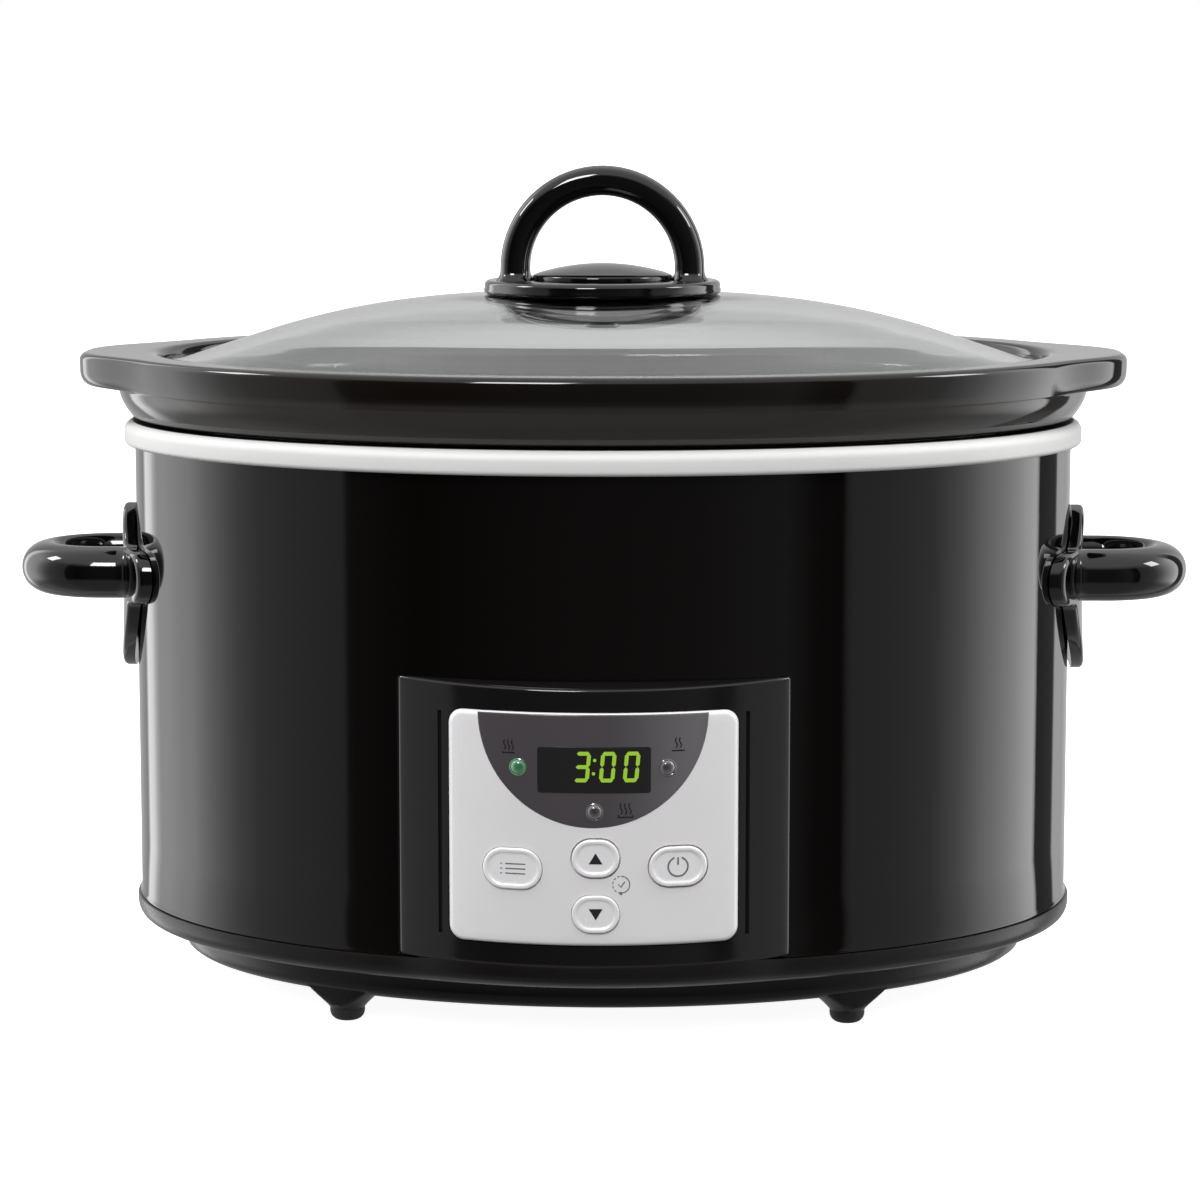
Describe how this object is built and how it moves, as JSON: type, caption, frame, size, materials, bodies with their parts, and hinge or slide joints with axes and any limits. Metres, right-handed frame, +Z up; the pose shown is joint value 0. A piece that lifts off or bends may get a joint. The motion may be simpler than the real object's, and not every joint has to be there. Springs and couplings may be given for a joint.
{
  "type": "slow cooker",
  "caption": "Oval slow cooker: black steel body with metal rim, lift-out stoneware crock, domed glass lid with arch knob, loop side handles and a digital control panel.",
  "frame": {"origin": "on the table under the middle of the oval body, which is also the middle of the bounding box's bottom face", "axes": "+X to the right along the oval's long axis, -Y towards the control panel at the front, +Z up"},
  "size_m": [0.391, 0.266, 0.2706],
  "materials": {
    "shell_paint": "high-gloss black enamel on steel",
    "rim_metal": "satin",
    "well_metal": "plain drawn sheet, dull",
    "base_plastic": "satin black moulding",
    "foot_rubber": "matte",
    "panel_plastic": "gloss black moulding",
    "plate_silver": "silver paint, fine matte",
    "lens_smoke": "smoked translucent lens",
    "key_silver": "silver paint, satin",
    "lamp_clear": "clear water-white lamp",
    "lamp_green": "lit green lamp, emissive",
    "display_black": "black display block",
    "handle_phenolic": "polished black phenolic",
    "stoneware": "glossy near-black glaze",
    "lid_glass": "clear tempered glass",
    "seal_silicone": "translucent silicone",
    "screw_steel": "zinc plated",
    "board_green": "solder-masked circuit board",
    "component_dark": "moulded component",
    "heater_sheath": "foil-faced heater band",
    "shield_steel": "aluminised steel sheet",
    "terminal_white": "ceramic-filled nylon"
  },
  "bodies": {
    "cooker": {"base_housing": "base_plastic", "foot_front_left": "foot_rubber", "foot_front_right": "foot_rubber", "foot_rear_left": "foot_rubber", "foot_rear_right": "foot_rubber", "base_screws": "screw_steel", "outer_shell": "shell_paint", "rim_band": "rim_metal", "heating_well": "well_metal", "heater_band": "heater_sheath", "heater_clamp_bolts": "screw_steel", "heat_shield": "shield_steel", "centre_stud": "screw_steel", "stud_nut": "screw_steel", "sensor_clip": "shield_steel", "temperature_sensor": "screw_steel", "thermal_fuse": "screw_steel", "fuse_clip": "terminal_white", "power_board": "board_green", "power_relay": "component_dark", "filter_capacitor": "component_dark", "transformer": "component_dark", "terminal_block": "terminal_white", "control_housing": "panel_plastic", "face_plate": "plate_silver", "display_lens": "lens_smoke", "display_module": "display_black", "indicator_lamp_low": "lamp_green", "indicator_lamp_high": "lamp_clear", "indicator_lamp_warm": "lamp_clear", "control_board": "board_green", "board_screws": "screw_steel", "key_switches": "component_dark", "side_handle_left": "handle_phenolic", "side_handle_right": "handle_phenolic", "handle_plate_left": "handle_phenolic", "handle_plate_right": "handle_phenolic", "handle_screws_left": "screw_steel", "handle_screws_right": "screw_steel", "cord_gland": "base_plastic"},
    "crock": {"crock": "stoneware"},
    "lid": {"glass_lid": "lid_glass", "lid_knob": "handle_phenolic", "knob_cap": "handle_phenolic", "lid_washer": "seal_silicone", "lid_screw": "screw_steel"},
    "key_menu": {"key_menu": "key_silver"},
    "key_up": {"key_up": "key_silver"},
    "key_down": {"key_down": "key_silver"},
    "key_power": {"key_power": "key_silver"}
  },
  "joints": [
    {"name": "crock_lift", "type": "slide", "parent": "cooker", "child": "crock", "axis": [0, 0, 1], "range_m": [0, 0.17]},
    {"name": "lid_lift", "type": "slide", "parent": "crock", "child": "lid", "axis": [0, 0, 1], "range_m": [0, 0.15]},
    {"name": "key_menu_press", "type": "slide", "parent": "cooker", "child": "key_menu", "axis": [0, 1, 0], "range_m": [0, 0.0008], "stiffness_N_per_m": 900},
    {"name": "key_up_press", "type": "slide", "parent": "cooker", "child": "key_up", "axis": [0, 1, 0], "range_m": [0, 0.0008], "stiffness_N_per_m": 900},
    {"name": "key_down_press", "type": "slide", "parent": "cooker", "child": "key_down", "axis": [0, 1, 0], "range_m": [0, 0.0008], "stiffness_N_per_m": 900},
    {"name": "key_power_press", "type": "slide", "parent": "cooker", "child": "key_power", "axis": [0, 1, 0], "range_m": [0, 0.0008], "stiffness_N_per_m": 900}
  ]
}
